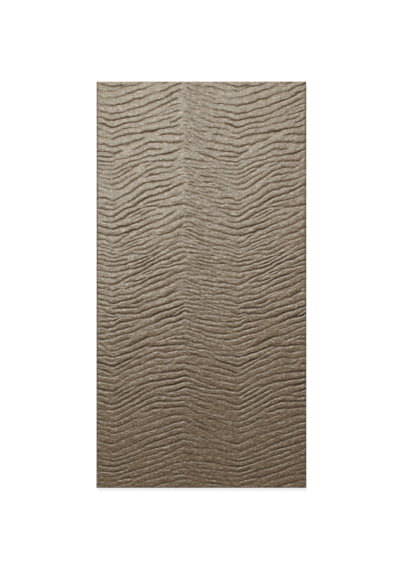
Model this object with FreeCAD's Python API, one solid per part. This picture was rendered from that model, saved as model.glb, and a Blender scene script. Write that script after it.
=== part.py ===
import FreeCAD, Part
import math
import os

os.makedirs("parts", exist_ok=True)

# Outline of the tile, in millimetres
TILE_WIDTH = 310.0
TILE_LENGTH = 600.0
TILE_THICKNESS = 10.0
ARRIS_BEVEL = 1.2

# Folded course that every groove follows across the width
FOLD_REPEAT = 185.0
VALLEY_FROM_MIDDLE = 54.5
CLIMBING_RUN = 105.5
CLIMB_ANGLE = 17.0
FALL_ANGLE = 11.0
CLIMB_SWAY = 7.0
FALL_SAG = 3.5

# Grooves and the pillowed bands between them
GROOVE_PITCH = 11.0
GROOVE_WIDTH = 3.0
GROOVE_DEPTH = 1.8
SHOULDER_DROP = 0.4
PITCH_SCATTER = 1.8
WANDER_SIZE = 1.4

# Share of the groove's depth on the falling leg and on a crest near the upper end, and how far it swells
FALL_SHARE = 0.55
CREST_SHARE = 0.12
SWELL_SHARE = 0.4

# Keyed back that takes the adhesive
KEY_DEPTH = 0.8
KEY_LAND = 6.0
KEY_COLUMNS = 5
KEY_ROWS = 10

# Turn between one groove and the next, which keeps the scatter from repeating
GOLDEN_ANGLE = math.pi * (3.0 - math.sqrt(5.0))

half_width = TILE_WIDTH / 2
half_length = TILE_LENGTH / 2
side_reach = half_width + ARRIS_BEVEL
climb_slope = math.tan(math.radians(CLIMB_ANGLE))
fall_slope = math.tan(math.radians(FALL_ANGLE))
climb_height = CLIMBING_RUN * climb_slope
fall_height = (FOLD_REPEAT - CLIMBING_RUN) * fall_slope


def repeat_and_offset(x):
    return divmod(x - VALLEY_FROM_MIDDLE, FOLD_REPEAT)


def course(x):
    """Height of the folded line at x: up from each valley with a sway, then down from the crest with a sag."""
    repeat, offset = repeat_and_offset(x)
    start = repeat * (climb_height - fall_height)
    if offset < CLIMBING_RUN:
        return start + offset * climb_slope + CLIMB_SWAY * math.sin(2 * math.pi * offset / CLIMBING_RUN)
    fallen = offset - CLIMBING_RUN
    sag = FALL_SAG * math.sin(math.pi * fallen / (FOLD_REPEAT - CLIMBING_RUN))
    return start + climb_height - fallen * fall_slope - sag


def groove_line(number, x):
    """Lengthwise place of a groove at x: its row, the folded course and a slow wander."""
    row = number * GROOVE_PITCH + PITCH_SCATTER * math.sin(GOLDEN_ANGLE * number)
    wander = WANDER_SIZE * math.sin(2 * math.pi * x / FOLD_REPEAT + 2 * GOLDEN_ANGLE * number)
    return row + course(x) + wander


def groove_strength(number, x):
    """Depth share at x: full on the climb, less on the fall, swelling on the way. On a crest it runs from almost
    none over the upper quarter to that of the fall over the lower quarter."""
    repeat, offset = repeat_and_offset(x)
    leg = 1.0 if offset < CLIMBING_RUN else FALL_SHARE
    if abs(offset - CLIMBING_RUN) < 1.0:
        lower = min(1.0, max(0.0, 0.5 - 2 * number * GROOVE_PITCH / TILE_LENGTH))
        leg = CREST_SHARE + (FALL_SHARE - CREST_SHARE) * lower
    swell = math.sin(4 * math.pi * x / FOLD_REPEAT + 6 * GOLDEN_ANGLE * number)
    return leg * (1 - SWELL_SHARE + SWELL_SHARE * swell)


# Fold lines inside the outline split every groove into legs
folds = []
for repeat in range(-int(TILE_WIDTH / FOLD_REPEAT) - 2, int(TILE_WIDTH / FOLD_REPEAT) + 3):
    valley = VALLEY_FROM_MIDDLE + repeat * FOLD_REPEAT
    folds += [valley, valley + CLIMBING_RUN]
ends = [-side_reach] + [x for x in sorted(folds) if abs(x) < side_reach] + [side_reach]
reaches = [course(x) for x in ends]
first_number = int(math.floor((-half_length - max(reaches)) / GROOVE_PITCH)) - 2
last_number = int(math.ceil((half_length - min(reaches)) / GROOVE_PITCH)) + 2


def rails_above(number, start, end):
    """Four curves along one leg: groove bottom, upper shoulder, crown of the next band, its lower shoulder."""
    bottom, upper, crown, lower = [], [], [], []
    for share in (0, 1 / 3, 2 / 3, 1):
        x = start + share * (end - start)
        here = groove_line(number, x)
        following = groove_line(number + 1, x)
        depth = groove_strength(number, x)
        next_depth = groove_strength(number + 1, x)
        bottom.append(FreeCAD.Vector(x, here, TILE_THICKNESS - GROOVE_DEPTH * depth))
        upper.append(FreeCAD.Vector(x, here + GROOVE_WIDTH / 2, TILE_THICKNESS - SHOULDER_DROP * depth))
        crown.append(FreeCAD.Vector(x, (here + following) / 2, TILE_THICKNESS))
        lower.append(FreeCAD.Vector(x, following - GROOVE_WIDTH / 2, TILE_THICKNESS - SHOULDER_DROP * next_depth))
    rails = []
    for poles in (bottom, upper, crown, lower):
        curve = Part.BezierCurve()
        curve.setPoles(poles)
        rails.append(curve.toShape())
    return rails


def on_floor(point):
    return FreeCAD.Vector(point.x, point.y, -TILE_THICKNESS)


def foot_of(rail):
    curve = Part.BezierCurve()
    curve.setPoles([on_floor(pole) for pole in rail.Curve.getPoles()])
    return curve.toShape()


def end_wall(rails, end):
    outline = [rail.Vertexes[end].Point for rail in rails]
    return Part.Face(Part.makePolygon(outline + [on_floor(outline[-1]), on_floor(outline[0]), outline[0]]))


# Relief skin, closed by walls outside the outline and a floor below the back
faces = []
for start, end in zip(ends, ends[1:]):
    rails = []
    for number in range(first_number, last_number + 1):
        rails += rails_above(number, start, end)
    faces += [Part.makeRuledSurface(rail, neighbour) for rail, neighbour in zip(rails, rails[1:])]
    near_foot = foot_of(rails[0])
    far_foot = foot_of(rails[-1])
    faces.append(Part.makeRuledSurface(rails[0], near_foot))
    faces.append(Part.makeRuledSurface(rails[-1], far_foot))
    faces.append(Part.makeRuledSurface(near_foot, far_foot))
    if start == ends[0]:
        faces.append(end_wall(rails, 0))
    if end == ends[-1]:
        faces.append(end_wall(rails, -1))
skin = Part.makeCompound(faces)
skin.sewShape(1e-4)
relief = Part.makeSolid(skin.Shells[0])

# Outline block with its front edges bevelled
block = Part.makeBox(TILE_WIDTH, TILE_LENGTH, TILE_THICKNESS, FreeCAD.Vector(-half_width, -half_length, 0))
front_edges = [edge for edge in block.Edges if edge.BoundBox.ZMin > TILE_THICKNESS / 2]
block = block.makeChamfer(ARRIS_BEVEL, front_edges)
tile = relief.common(block)

# Shallow pockets in the back, between lands
cell_width = (TILE_WIDTH - KEY_LAND) / KEY_COLUMNS
cell_length = (TILE_LENGTH - KEY_LAND) / KEY_ROWS
pockets = []
for column in range(KEY_COLUMNS):
    for row in range(KEY_ROWS):
        left = -half_width + KEY_LAND + column * cell_width
        near = -half_length + KEY_LAND + row * cell_length
        corner = FreeCAD.Vector(left, near, 0)
        pockets.append(Part.makeBox(cell_width - KEY_LAND, cell_length - KEY_LAND, KEY_DEPTH, corner))
tile = tile.cut(Part.makeCompound(pockets))

tile.exportStep("parts/wall_tile.step")
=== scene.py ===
import math

import bpy
import mathutils
import numpy as np
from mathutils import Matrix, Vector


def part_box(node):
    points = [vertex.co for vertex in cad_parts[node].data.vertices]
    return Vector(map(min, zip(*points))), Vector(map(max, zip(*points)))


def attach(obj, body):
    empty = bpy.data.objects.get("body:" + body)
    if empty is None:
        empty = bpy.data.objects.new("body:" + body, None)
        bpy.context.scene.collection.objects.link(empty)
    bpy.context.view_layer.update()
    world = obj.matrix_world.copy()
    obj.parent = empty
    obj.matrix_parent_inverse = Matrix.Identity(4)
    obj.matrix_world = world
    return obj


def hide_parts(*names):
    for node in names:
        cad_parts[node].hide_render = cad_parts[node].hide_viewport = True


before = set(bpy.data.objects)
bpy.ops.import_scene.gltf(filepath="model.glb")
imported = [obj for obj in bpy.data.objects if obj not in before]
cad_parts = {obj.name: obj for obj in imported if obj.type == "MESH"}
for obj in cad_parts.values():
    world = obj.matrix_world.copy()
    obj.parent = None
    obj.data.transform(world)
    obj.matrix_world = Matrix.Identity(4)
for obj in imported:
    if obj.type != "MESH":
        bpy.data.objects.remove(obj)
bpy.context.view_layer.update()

MM = 0.001

# Tile, read from the frame
low, high = (np.array(corner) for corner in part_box("wall_tile"))
WIDTH, LENGTH, THICKNESS = high - low
ARRIS = 1.2 * MM

# Folded course of the grooves, as in the part's source
FOLD_REPEAT = 185 * MM
VALLEY = 54.5 * MM
CLIMBING_RUN = 105.5 * MM
FALLING_RUN = FOLD_REPEAT - CLIMBING_RUN
CLIMB_SLOPE = math.tan(math.radians(17))
FALL_SLOPE = -math.tan(math.radians(11))
MEAN_SLOPE = (CLIMBING_RUN * CLIMB_SLOPE + FALLING_RUN * FALL_SLOPE) / FOLD_REPEAT
FOLD_ROUND = 2 * MM

# Belts along the tile, and the level rows a third of a repeat from them
BELT_REPEAT = 298 * MM
BELT_MIDDLE = 152 * MM

# Headings in degrees, and their changes: what they are everywhere, and what the belts and the level rows add
CLIMB_HEADING = 22
FALL_HEADING = -8
FLATTENING = (-2.8, -25.2, 0)
VALLEY_RISE = (5, 3, -22)
CREST_DROP = (-9, 0, -14)
VALLEY_DROP = (-7, -4, 17)
CREST_TURN = 22
PATCH_SLANT = 20

# Places of those changes from the valley, and how far they reach
FLAT_PLACE = 70 * MM
FLAT_REACH = 15 * MM
VALLEY_RISE_PLACE = 18 * MM
VALLEY_RISE_REACH = 15 * MM
CREST_TURN_REACH = 12 * MM
CREST_DROP_REACH = 14 * MM
VALLEY_DROP_REACH = 13 * MM

# Slanting patch: its place from the valley and up the tile, as a share of the length, and how far it reaches
PATCH_PLACE = CLIMBING_RUN + 30 * MM
PATCH_REACH = 25 * MM
PATCH_UP_SHARE = 0.15
PATCH_UP_REACH = 0.05

# Grooves, which change from a lower form at the lower end to an upper form at a share of the length
UPPER_FORM = 0.6
PITCHES = np.array([6.0, 8.5, 11.5]) * MM
GROOVE_REACH = 6.5 * MM
GROOVE_BAND = 0.45
GROOVE_DEPTH = 0.95 * MM
UPPER_HALF_WIDTH = 0.8 * MM
LOWER_HALF_WIDTH = 1.2 * MM
UPPER_PILLOW = 0.4 * MM
LOWER_PILLOW = 0.62 * MM
UPPER_FLANK_POWER = 7
LOWER_FLANK_POWER = 2
# Painted shade: share of the darkening in the grooves at the lower end, partly glaze pooling and partly
# painted shade, rising to the full share at the upper form
LOWER_POOL_AND_SHADE = 0.6
RIDGE_START = 0.12
RIDGE_FULL = 0.7
FALL_SHARE = 0.4
CREST_WANDER = 2 * MM
LUMP = 0.2 * MM

# Depth of the grooves along the tile: shares of the length, and of the depth there
DEPTH_PLACES = (-0.1, 0.35, 0.38, 0.53)
DEPTH_SHARES = (0.42, 1.05, 1.05, 0.85)

# Slanting dents past the crests
HATCH_PITCH = 6.0 * MM
HATCH_BAND = 0.35
HATCH_REACH = 2.2 * MM
HATCH_DEPTH = 0.7 * MM
HATCH_SLOPE = -math.tan(math.radians(27))
HATCH_FADE = 45 * MM
DENT_SHADE = 0.35

# Keyed back, as in the part's source
KEY_DEPTH = 0.8 * MM
KEY_LAND = 6 * MM
KEY_COLUMNS = 5
KEY_ROWS = 10

# Mesh of the face
FACE_COLUMNS = 118
FACE_ROWS = 780

# Artwork of the mould: one repeat of the folds wide, drawn with the folds pulled straight
SEED = 11
ART_COLUMNS = 256
ART_STEP = 0.75 * MM
ART_MARGIN = 40 * MM
art_rows = int(round((LENGTH + 2 * ART_MARGIN) / ART_STEP))
art_x_step = FOLD_REPEAT / ART_COLUMNS
art_x = (np.arange(ART_COLUMNS) + 0.5) * art_x_step
art_y = -LENGTH / 2 - ART_MARGIN + (np.arange(art_rows) + 0.5) * ART_STEP
across_frequency = np.fft.fftfreq(ART_COLUMNS, art_x_step)[None, :]
along_frequency = np.fft.fftfreq(art_rows, ART_STEP)[:, None]
random = np.random.default_rng(SEED)


def soft_noise(wide, tall):
    """White noise blurred by a Gaussian of that width and height, of unit spread, joined at the repeat."""
    spectrum = np.fft.fft2(random.standard_normal((art_rows, ART_COLUMNS)))
    blur = np.exp(-2 * np.pi ** 2 * ((across_frequency * wide) ** 2 + (along_frequency * tall) ** 2))
    field = np.fft.ifft2(spectrum * blur).real
    return field / field.std()


def band_filter(angle, pitch, band, reach):
    """Passes waves of that pitch that run along a heading, one way round, and smooths them along it."""
    normal = along_frequency * math.cos(angle) - across_frequency * math.sin(angle)
    tangent = along_frequency * math.sin(angle) + across_frequency * math.cos(angle)
    passed = np.exp(-0.5 * ((normal * pitch - 1) / band) ** 2 - 2 * (np.pi * reach * tangent) ** 2)
    return passed * (normal > 0)


def near(x, place, reach):
    """1 at a place and 0 well away from it, as a Gaussian of that reach."""
    return np.exp(-((x - place) / reach) ** 2)


def up_share(y):
    """0 at the lower end of the tile and 1 at the upper end."""
    return y / LENGTH + 0.5


def unrest(y):
    """How far the grooves stray: little at the lower end, fully from halfway up."""
    return np.interp(up_share(y), [0, 1 / 2], [0.4, 1])


def crest_break(y):
    """How far the grooves die out on a crest: not at all up to a third of the length, fully from 3/4."""
    return np.interp(up_share(y), [1 / 3, 3 / 4], [0, 1])


def fold_weight(x):
    """1 on the climbing leg of a fold and 0 on the falling leg, with tanh steps at valley and crest."""
    rise = np.tanh(x / FOLD_ROUND) - np.tanh((x - CLIMBING_RUN) / FOLD_ROUND)
    return 0.5 * (rise + np.tanh((x - FOLD_REPEAT) / FOLD_ROUND) + 1)


def course(x):
    """Height of the folded line at x from a valley: that of the whole repeats, then of the part of one."""
    repeat, offset = np.divmod(x, FOLD_REPEAT)
    climbed = np.minimum(offset, CLIMBING_RUN) * CLIMB_SLOPE
    fallen = np.maximum(offset - CLIMBING_RUN, 0) * FALL_SLOPE
    return repeat * FOLD_REPEAT * MEAN_SLOPE + climbed + fallen


def fold(x):
    """The folded line without its mean climb, which repeats without a step."""
    return course(x) - MEAN_SLOPE * x


def wandering_crest():
    """Place of the crest, which strays a little along the tile."""
    return CLIMBING_RUN + CREST_WANDER * soft_noise(40 * MM, 6 * MM)


def slanting_patch(x, y):
    """1 in the middle of the slanting patch, which is on the fall near the lower end, and 0 away from it."""
    return near(x, PATCH_PLACE, PATCH_REACH) * near(up_share(y), PATCH_UP_SHARE, PATCH_UP_REACH)


def groove_slope(x, y):
    """Slope of the grooves in the straight artwork: the headings of climb and fall with their changes, plus
    a waver. The climb has a flat stretch past halfway, most in the belts. Both legs are steeper beside the
    valley, but nearly level there in the level rows, where the fall is steeper past the crest. The climb
    lifts into the crest at the upper end and flattens there at the lower end."""
    turn = 2 * np.pi * (y - BELT_MIDDLE) / BELT_REPEAT
    belt = (0.5 + 0.5 * np.cos(turn)) ** 2
    level = (0.5 + 0.5 * np.cos(turn - 2 * np.pi / 3)) ** 2

    def amount(change):
        everywhere, in_belts, in_level_rows = change
        return everywhere + in_belts * belt + in_level_rows * level

    climb = CLIMB_HEADING + amount(FLATTENING) * near(x, FLAT_PLACE, FLAT_REACH)
    climb += amount(VALLEY_RISE) * near(x, VALLEY_RISE_PLACE, VALLEY_RISE_REACH)
    climb += CREST_TURN * (up_share(y) - 0.65) * near(x, CLIMBING_RUN, CREST_TURN_REACH)
    past_crest = np.maximum(x - CLIMBING_RUN, 0)
    fall = FALL_HEADING + amount(CREST_DROP) * np.exp(-past_crest / CREST_DROP_REACH)
    fall += amount(VALLEY_DROP) * near(x, FOLD_REPEAT, VALLEY_DROP_REACH)
    fall -= PATCH_SLANT * slanting_patch(x, y)
    on_climb = np.tan(np.radians(climb)) - CLIMB_SLOPE
    on_fall = np.tan(np.radians(fall)) - FALL_SLOPE
    weight = fold_weight(x)
    waver = 0.08 * soft_noise(14 * MM, 7 * MM) + 0.07 * soft_noise(6 * MM, 4 * MM)
    return MEAN_SLOPE + weight * on_climb + (1 - weight) * on_fall + waver * unrest(y)


def grow_grooves(x, y, rounds=6, squeeze=1.6, heading_step=6.0):
    """Grows ridges out of white noise. Each round passes the field through band filters, one a heading and
    pitch, blended by the slope and pitch wanted at every point, then squeezes it with tanh and breaks it
    at the upper crests. The complex ridges have their height as real part, phase as angle and strength as
    length. The pitch comes with them: wider on the climb, and more uneven towards the upper end."""
    headings = np.radians(np.arange(-36, 37, heading_step))
    heading = np.clip(np.arctan(groove_slope(x, y)), headings[0], headings[-1])
    broken = near(x, wandering_crest(), 3 * MM) * crest_break(y)
    unevenness = np.interp(up_share(y), [0, 2 / 3], [0.18, 0.38])
    pitch_place = 0.45 + unevenness * soft_noise(20 * MM, 14 * MM) + 0.2 * (fold_weight(x) - 0.5)
    pitch_place = np.clip(pitch_place, 0, 1) * (len(PITCHES) - 1)
    field = random.standard_normal(x.shape)
    for _ in range(rounds):
        spectrum = np.fft.fft2(field)
        ridges = np.zeros(x.shape, complex)
        for angle in headings:
            turn = np.clip(1 - np.abs(heading - angle) / math.radians(heading_step), 0, 1)
            for place, pitch in enumerate(PITCHES):
                share = turn * np.clip(1 - np.abs(pitch_place - place), 0, 1)
                passed = band_filter(angle, pitch, GROOVE_BAND, GROOVE_REACH)
                ridges += share * np.fft.ifft2(spectrum * passed)
        ridges /= np.sqrt((np.abs(ridges) ** 2).mean())
        field = np.tanh(squeeze * ridges.real) * (1 - broken)
    return ridges, np.interp(pitch_place, np.arange(len(PITCHES)), PITCHES)


def groove_strength(x, y, ridges):
    """Depth share: fades where ridges end, swells slowly, follows the depths along the tile, is patchy and
    weaker on the fall, less so towards the valley and the lower end, and dies out on the upper crests."""
    share = np.clip((np.abs(ridges) - RIDGE_START) / (RIDGE_FULL - RIDGE_START), 0, 1)
    share = share * share * (3 - 2 * share)
    swell = np.clip(0.9 + 0.22 * soft_noise(12 * MM, 5 * MM), 0.3, 1.3)
    patchy = np.clip(0.95 + 0.35 * soft_noise(4 * MM, 2.5 * MM), 0.2, 1.3)
    fallen = np.clip((x - CLIMBING_RUN) / FALLING_RUN, 0, 1)
    low_down = np.clip(1 - 1.9 * up_share(y), 0, 1)
    weight = fold_weight(x)
    leg = weight + (1 - weight) * (FALL_SHARE + 0.4 * np.maximum(fallen, low_down)) * patchy
    crest = 1 - 0.8 * near(x, wandering_crest(), 2.5 * MM) * crest_break(y)
    return share * swell * leg * crest * np.interp(up_share(y), DEPTH_PLACES, DEPTH_SHARES)


def hatch(x, y):
    """Short slanting strokes: noise passed through one band filter. They lie past the crests, fading along
    the fall and towards the lower end, and in the slanting patch."""
    angle = math.atan(MEAN_SLOPE + HATCH_SLOPE - FALL_SLOPE)
    passed = band_filter(angle, HATCH_PITCH, HATCH_BAND, HATCH_REACH)
    strokes = np.fft.ifft2(np.fft.fft2(random.standard_normal(x.shape)) * passed).real
    fade = near(np.maximum(x, CLIMBING_RUN), CLIMBING_RUN, HATCH_FADE) * np.clip(up_share(y) + 0.3, 0, 1)
    fade = np.maximum(fade, slanting_patch(x, y)) * (1 - fold_weight(x))
    return strokes / strokes.std() * fade


art_x_grid, art_y_grid = np.meshgrid(art_x, art_y)
art_ridges, art_pitch = grow_grooves(art_x_grid, art_y_grid)
art_strength = groove_strength(art_x_grid, art_y_grid, art_ridges)
art_waver = 0.7 * MM * soft_noise(6 * MM, 6 * MM) + 0.5 * MM * soft_noise(2.6 * MM, 3 * MM)
art_waver *= unrest(art_y_grid)
art_lumps = soft_noise(2.4 * MM, 1.5 * MM)
art_hatch = hatch(art_x_grid, art_y_grid)


def on_tile(art, x, y):
    """Artwork value at points of the tile, folded and repeated across, weighted from the four nearest."""
    column = ((x - VALLEY) / art_x_step - 0.5) % ART_COLUMNS
    row = np.clip((y - fold(x - VALLEY) - art_y[0]) / ART_STEP, 0, art_rows - 1.001)
    left = np.floor(column).astype(int)
    below = np.floor(row).astype(int)
    right_share = column - left
    above_share = row - below
    left = left % ART_COLUMNS
    right = (left + 1) % ART_COLUMNS
    lower = art[below, left] * (1 - right_share) + art[below, right] * right_share
    higher = art[below + 1, left] * (1 - right_share) + art[below + 1, right] * right_share
    return lower * (1 - above_share) + higher * above_share


def relief(x, y):
    """Height from the crowns down, with the share of darkening in the grooves and dents, partly glaze
    pooling and partly painted shade, and the share of thinned film. A broad pillow and a narrow groove are
    powers of a cosine of the phase, and the groove's power keeps its half-width at any pitch. Lumps and
    the dents of the hatch are taken off as well."""
    def from_low_to_up(lower, upper):
        return np.interp(up_share(y), [0, UPPER_FORM], [lower, upper])

    wavered = y + on_tile(art_waver, x, y)
    strength = on_tile(art_strength, x, wavered)
    gap = (1 - np.cos(np.angle(on_tile(art_ridges, x, wavered)))) / 2
    half_width = from_low_to_up(LOWER_HALF_WIDTH, UPPER_HALF_WIDTH)
    groove = strength * gap ** (on_tile(art_pitch, x, wavered) / (np.pi * half_width)) ** 2
    pillow = from_low_to_up(LOWER_PILLOW, UPPER_PILLOW) * strength * gap ** 2
    flank = strength * gap ** from_low_to_up(LOWER_FLANK_POWER, UPPER_FLANK_POWER)
    lumps = LUMP * (np.tanh(on_tile(art_lumps, x, y)) - 1)
    dents = np.tanh(np.maximum(on_tile(art_hatch, x, y), 0))
    height = lumps - GROOVE_DEPTH * groove - pillow - HATCH_DEPTH * dents
    # Darkening in grooves and dents: partly glaze pooling, partly painted shade for the shade that falls in
    # them; less towards the lower end
    pooled_and_shade = groove * from_low_to_up(LOWER_POOL_AND_SHADE, 1) + DENT_SHADE * dents
    return height, pooled_and_shade, flank + DENT_SHADE * dents


def stations(half, count):
    """Places from edge to edge, even in the middle and closer in the bevelled arris at both ends."""
    arris = ARRIS * np.array([0, 0.5])
    middle = np.linspace(-half + ARRIS, half - ARRIS, count - 2 * len(arris))
    return np.concatenate([-half + arris, middle, (half - arris)[::-1]])


def grid_quads(index):
    """Quads between neighbouring points of a grid of point numbers, turning anticlockwise."""
    return np.stack([index[:-1, :-1], index[:-1, 1:], index[1:, 1:], index[1:, :-1]], -1).reshape(-1, 4)


def rim_of(index):
    """Point numbers round the outside of a grid, once round anticlockwise."""
    return np.concatenate([index[0, :-1], index[:-1, -1], index[-1, :0:-1], index[:0:-1, 0]])


def face_points():
    """The face as a grid: rows lean with the folded course and straighten towards the ends, the height is
    the relief, and a bevel takes it down at the arris."""
    columns = stations(WIDTH / 2, FACE_COLUMNS)
    rows = stations(LENGTH / 2, FACE_ROWS)
    lean = course(columns - VALLEY)
    lean = lean - (lean.max() + lean.min()) / 2
    x, row = np.meshgrid(columns, rows)
    y = row + lean[None, :] * (1 - (np.abs(row) / (LENGTH / 2)) ** 4)
    height, pooled_and_shade, thinned = relief(x, y)
    inward = np.minimum(WIDTH / 2 - np.abs(x), LENGTH / 2 - np.abs(y))
    z = THICKNESS + height - np.clip(ARRIS - inward, 0, ARRIS)
    return np.stack([x, y, z], -1), pooled_and_shade, thinned


def land_lines(half, count):
    """Edges of the pockets along one side: each pocket starts after a land and ends at the next one."""
    cell = (2 * half - KEY_LAND) / count
    starts = -half + KEY_LAND + cell * np.arange(count)
    return np.stack([starts, starts + cell - KEY_LAND], -1).reshape(-1)


def ring_triangles(outer, inner, outer_places, inner_places):
    """Triangles between a fine row of points and a coarse one beside it: every fine edge goes to the coarse
    point nearest its middle, and every coarse edge to the fine point where that choice changes."""
    middles = (outer_places[1:] + outer_places[:-1]) / 2
    halfway = (inner_places[1:] + inner_places[:-1]) / 2
    nearest = np.searchsorted(halfway, middles)
    change = np.searchsorted(nearest, np.arange(1, len(inner)))
    fine = np.stack([outer[:-1], outer[1:], inner[nearest]], -1)
    coarse = np.stack([outer[change], inner[1:], inner[:-1]], -1)
    return np.concatenate([fine, coarse])


def tile_skin():
    """Closed skin of the tile: the face, sides straight down from its rim, a ring from the fine rim to a
    coarse grid of lands on the back, and a box for each pocket between the lands."""
    grid, pooled_and_shade, thinned = face_points()
    rows, columns = pooled_and_shade.shape
    face = np.arange(pooled_and_shade.size).reshape(pooled_and_shade.shape)
    rim = rim_of(face)
    foot_points = grid.reshape(-1, 3)[rim] * [1, 1, 0]
    foot = pooled_and_shade.size + np.arange(len(rim))
    sides = np.stack([rim, foot, np.roll(foot, -1), np.roll(rim, -1)], -1)

    across = land_lines(WIDTH / 2, KEY_COLUMNS)
    along = land_lines(LENGTH / 2, KEY_ROWS)
    land_x, land_y = np.meshgrid(across, along)
    land_points = np.stack([land_x, land_y, np.zeros_like(land_x)], -1).reshape(-1, 3)
    land = foot[-1] + 1 + np.arange(land_x.size).reshape(land_x.shape)
    cell_row, cell_column = np.indices((len(along) - 1, len(across) - 1))
    is_pocket = (cell_row % 2 == 0) & (cell_column % 2 == 0)
    cells = grid_quads(land).reshape(*is_pocket.shape, 4)
    mouths = cells[is_pocket]
    floors = land[-1, -1] + 1 + np.arange(mouths.size).reshape(mouths.shape)
    floor_points = land_points[(mouths - land[0, 0]).reshape(-1)] + [0, 0, KEY_DEPTH]
    walls = np.stack([mouths, floors, np.roll(floors, -1, 1), np.roll(mouths, -1, 1)], -1).reshape(-1, 4)
    back = np.concatenate([cells[~is_pocket][:, ::-1], floors[:, ::-1], walls])

    lower, right, upper, left = np.split(foot, np.cumsum([columns - 1, rows - 1, columns - 1]))
    x_places = grid[0, :, 0]
    left_places = grid[:, 0, 1]
    right_places = grid[:, -1, 1]
    ring = np.concatenate([
        ring_triangles(np.append(lower, right[0]), land[0], x_places, across)[:, ::-1],
        ring_triangles(np.append(right, upper[0]), land[:, -1], right_places, along)[:, ::-1],
        ring_triangles(np.append(upper, left[0])[::-1], land[-1], x_places, across),
        ring_triangles(np.append(left, lower[0])[::-1], land[:, 0], left_places, along),
    ])
    points = np.concatenate([grid.reshape(-1, 3), foot_points, land_points, floor_points])
    glazed = grid_quads(face)
    body = np.concatenate([sides, back])
    return points, glazed, body, ring, pooled_and_shade.reshape(-1), thinned.reshape(-1)


points, glazed, body, ring, pooled_and_shade, thinned = tile_skin()
mesh = bpy.data.meshes.new("wall_tile_skin")
mesh.from_pydata(points, [], glazed.tolist() + body.tolist() + ring.tolist())
# Darkening share (partly glaze pooling, partly painted shade) and thinned-film share, on the face's points
for name, share in (("pooled_and_shade", pooled_and_shade), ("thinned", thinned)):
    values = np.zeros(len(points), np.float32)
    values[:len(share)] = share
    mesh.attributes.new(name, "FLOAT", "POINT").data.foreach_set("value", values)
on_face = np.arange(len(mesh.polygons)) < len(glazed)
mesh.polygons.foreach_set("use_smooth", on_face)
mesh.polygons.foreach_set("material_index", np.where(on_face, 0, 1).astype(np.int32))
mesh.update()
tile = bpy.data.objects.new("wall_tile_skin", mesh)
bpy.context.scene.collection.objects.link(tile)
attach(tile, "root")
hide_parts("wall_tile")


def linear(code):
    """sRGB hex colour as linear red, green, blue and alpha."""
    channels = np.array([int(code[i:i + 2], 16) for i in (1, 3, 5)]) / 255
    curved = np.where(channels <= 0.04045, channels / 12.92, ((channels + 0.055) / 1.055) ** 2.4)
    return (*curved.tolist(), 1.0)


def add(tree, kind, inputs=None, **settings):
    """Adds a node with its settings; each input is a value or another node's output."""
    node = tree.nodes.new(kind)
    for name, value in settings.items():
        setattr(node, name, value)
    for socket, value in (inputs or {}).items():
        if isinstance(value, bpy.types.NodeSocket):
            tree.links.new(value, node.inputs[socket])
        else:
            node.inputs[socket].default_value = value
    return node


def share_of(tree, name):
    """The skin's attribute of that name."""
    return add(tree, "ShaderNodeAttribute", attribute_name=name).outputs["Fac"]


def stretched(tree, place, times):
    """Coordinates multiplied axis by axis."""
    return add(tree, "ShaderNodeVectorMath", {0: place, 1: times}, operation="MULTIPLY").outputs["Vector"]


def noise(tree, place, size, **inputs):
    """Noise whose features are of that size."""
    return add(tree, "ShaderNodeTexNoise", {"Vector": place, "Scale": 1 / size, **inputs}).outputs["Fac"]


def blend(tree, factor, first, second):
    """Colour between two others."""
    mix = add(tree, "ShaderNodeMix", {"Factor": factor, "A": first, "B": second}, data_type="RGBA")
    return mix.outputs["Result"]


def bumpy(tree, height, distance, strength=1.0):
    """Normals of a bump that stands that far out."""
    bump = add(tree, "ShaderNodeBump", {"Height": height, "Strength": strength, "Distance": distance})
    return bump.outputs["Normal"]


def new_material(name):
    """Empty material and its node tree."""
    material = bpy.data.materials.new(name)
    material.use_nodes = True
    material.node_tree.nodes.clear()
    return material, material.node_tree


def matte_taupe_glaze():
    """Matte taupe glaze: a brown gritty ground, paler in random specks, partly the glaze's own grain colour
    and partly painted glints, and darker in the grooves and dents, partly glaze pooling and partly painted
    shade, under a satin film that lies smoother than the grit and runs thin in the grooves and the dents."""
    material, tree = new_material("matte_taupe_glaze")
    place = add(tree, "ShaderNodeTexCoord").outputs["Object"]
    grit = noise(tree, stretched(tree, place, (0.85, 1, 1)), 3 * MM, Detail=1.0, Roughness=0.7)
    patches = noise(tree, stretched(tree, place, (1.8, 1, 1)), 9 * MM, Detail=2.0)
    ground = blend(tree, patches, linear("#6d5542"), linear("#927359"))
    # Pale specks: partly the glaze's own grain colour, partly painted glints scattered at random over the
    # face
    pale_grain_and_glints = add(tree, "ShaderNodeMapRange", {"Value": grit, "From Min": 0.5, "From Max": 0.85})
    ground_with_grain_and_glints = blend(tree, pale_grain_and_glints.outputs["Result"], ground, linear("#b8a087"))
    # Painted shade: colour taken towards dark brown in the grooves and dents, partly for glaze pooling and
    # partly for the shade in them
    darkened = blend(tree, share_of(tree, "pooled_and_shade"), ground_with_grain_and_glints, linear("#33291d"))
    film = add(tree, "ShaderNodeMapRange", {
        "Value": share_of(tree, "thinned"), "From Max": 0.6, "To Min": 1.0, "To Max": 0.12})
    shader = add(tree, "ShaderNodeBsdfPrincipled", {
        "Base Color": darkened, "Roughness": 0.8, "Specular IOR Level": 0.0,
        "Normal": bumpy(tree, grit, 2.1 * MM),
        "Coat Weight": film.outputs["Result"], "Coat Roughness": 0.4, "Coat IOR": 1.7,
        "Coat Normal": bumpy(tree, grit, 0.3 * MM)})
    add(tree, "ShaderNodeOutputMaterial", {"Surface": shader.outputs["BSDF"]})
    return material


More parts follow.
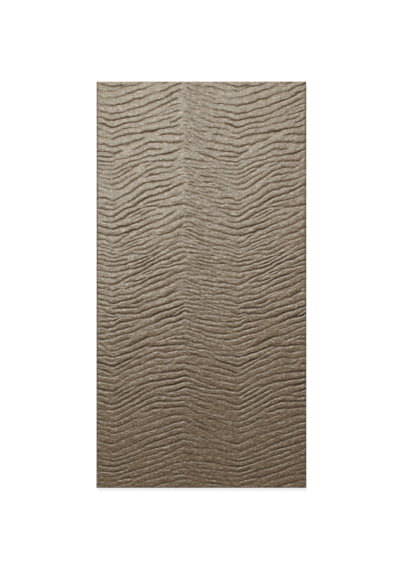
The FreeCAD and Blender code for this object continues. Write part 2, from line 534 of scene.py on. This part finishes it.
def fired_clay():
    """Unglazed fired clay body of the sides and back: pale buff, dull and finely pitted."""
    material, tree = new_material("fired_clay")
    place = add(tree, "ShaderNodeTexCoord").outputs["Object"]
    pits = noise(tree, place, 1.5 * MM, Detail=4.0, Roughness=0.65)
    shader = add(tree, "ShaderNodeBsdfPrincipled", {
        "Base Color": blend(tree, pits, linear("#a8937c"), linear("#c4b09a")),
        "Roughness": 0.85, "IOR": 1.5, "Normal": bumpy(tree, pits, 0.2 * MM, 0.6)})
    add(tree, "ShaderNodeOutputMaterial", {"Surface": shader.outputs["BSDF"]})
    return material


def white_floor():
    """White studio floor: pale paper that keeps the shadow, lifted to white where it is seen or mirrored."""
    material, tree = new_material("white_floor")
    paper = add(tree, "ShaderNodeBsdfDiffuse", {"Color": linear("#d8d8d8")})
    ray = add(tree, "ShaderNodeLightPath").outputs
    seen = ray["Is Camera Ray"]
    for mirrored in (ray["Is Glossy Ray"], ray["Is Transmission Ray"]):
        seen = add(tree, "ShaderNodeMath", {0: seen, 1: mirrored}, operation="MAXIMUM").outputs["Value"]
    lift = add(tree, "ShaderNodeMath", {0: seen, 1: 0.8}, operation="MULTIPLY")
    glow = add(tree, "ShaderNodeEmission", {"Strength": lift.outputs["Value"]})
    both = add(tree, "ShaderNodeAddShader", {0: paper.outputs["BSDF"], 1: glow.outputs["Emission"]})
    add(tree, "ShaderNodeOutputMaterial", {"Surface": both.outputs["Shader"]})
    return material


mesh.materials.append(matte_taupe_glaze())
mesh.materials.append(fired_clay())

# Floor just under the tile
FLOOR_HALF = 1.2
FLOOR_GAP = 0.2 * MM
floor_mesh = bpy.data.meshes.new("floor")
corners = np.array([[-1, -1, 0], [1, -1, 0], [1, 1, 0], [-1, 1, 0]]) * FLOOR_HALF
corners[:, 2] = low[2] - FLOOR_GAP
floor_mesh.from_pydata(corners.tolist(), [], [(0, 1, 2, 3)])
floor_mesh.materials.append(white_floor())
floor = bpy.data.objects.new("floor", floor_mesh)
bpy.context.scene.collection.objects.link(floor)

# World: white just above the floor's far edge, as a backdrop is, and a soft grey fill higher up
world = bpy.data.worlds.new("studio")
bpy.context.scene.world = world
world.use_nodes = True
tree = world.node_tree
tree.nodes.clear()
heading = add(tree, "ShaderNodeTexCoord").outputs["Generated"]
height = add(tree, "ShaderNodeSeparateXYZ", {"Vector": heading}).outputs["Z"]
strength = add(tree, "ShaderNodeMapRange", {
    "Value": height, "From Min": 0.12, "From Max": 0.2, "To Min": 1.0, "To Max": 0.05})
backdrop = add(tree, "ShaderNodeBackground", {
    "Color": linear("#ffffff"), "Strength": strength.outputs["Result"]})
add(tree, "ShaderNodeOutputWorld", {"Surface": backdrop.outputs["Background"]})


def soft_box(name, place, aim, wide, tall, watts, colour):
    """Rectangular lamp at a place, facing the point it is aimed at."""
    data = bpy.data.lights.new(name, "AREA")
    data.shape = "RECTANGLE"
    data.size = wide
    data.size_y = tall
    data.energy = watts
    data.color = linear(colour)[:3]
    lamp = bpy.data.objects.new(name, data)
    lamp.location = place
    lamp.rotation_euler = (lamp.location - mathutils.Vector(aim)).to_track_quat("Z", "Y").to_euler()
    bpy.context.scene.collection.objects.link(lamp)


soft_box("overhead_box", place=(-0.09, 0.28, 0.75), aim=(0, 0.1, 0), wide=0.65, tall=0.35, watts=4.75,
         colour="#ecfffc")
soft_box("raking_box", place=(-0.4, 2.2, 1.45), aim=(0, 0, 0), wide=0.7, tall=0.7, watts=46,
         colour="#ffffff")

# Camera straight above, framed as in the photograph
PHOTO_WIDTH, PHOTO_HEIGHT = 400, 570
TILE_TOP_PX, TILE_BOTTOM_PX = 81.1, 488.05
TILE_LEFT_PX, TILE_RIGHT_PX = 96.2, 306.5
CAMERA_HEIGHT = 2.2
SENSOR_HEIGHT = 36
metres_per_px = LENGTH / (TILE_BOTTOM_PX - TILE_TOP_PX)
camera_data = bpy.data.cameras.new("camera")
camera_data.sensor_fit = "VERTICAL"
camera_data.sensor_height = SENSOR_HEIGHT
camera_data.lens = SENSOR_HEIGHT * CAMERA_HEIGHT / (PHOTO_HEIGHT * metres_per_px)
camera = bpy.data.objects.new("camera", camera_data)
camera.location = (
    (PHOTO_WIDTH - TILE_LEFT_PX - TILE_RIGHT_PX) / 2 * metres_per_px,
    (TILE_TOP_PX + TILE_BOTTOM_PX - PHOTO_HEIGHT) / 2 * metres_per_px,
    THICKNESS + CAMERA_HEIGHT,
)
bpy.context.scene.collection.objects.link(camera)
bpy.context.scene.camera = camera
bpy.context.scene.view_settings.view_transform = "Standard"
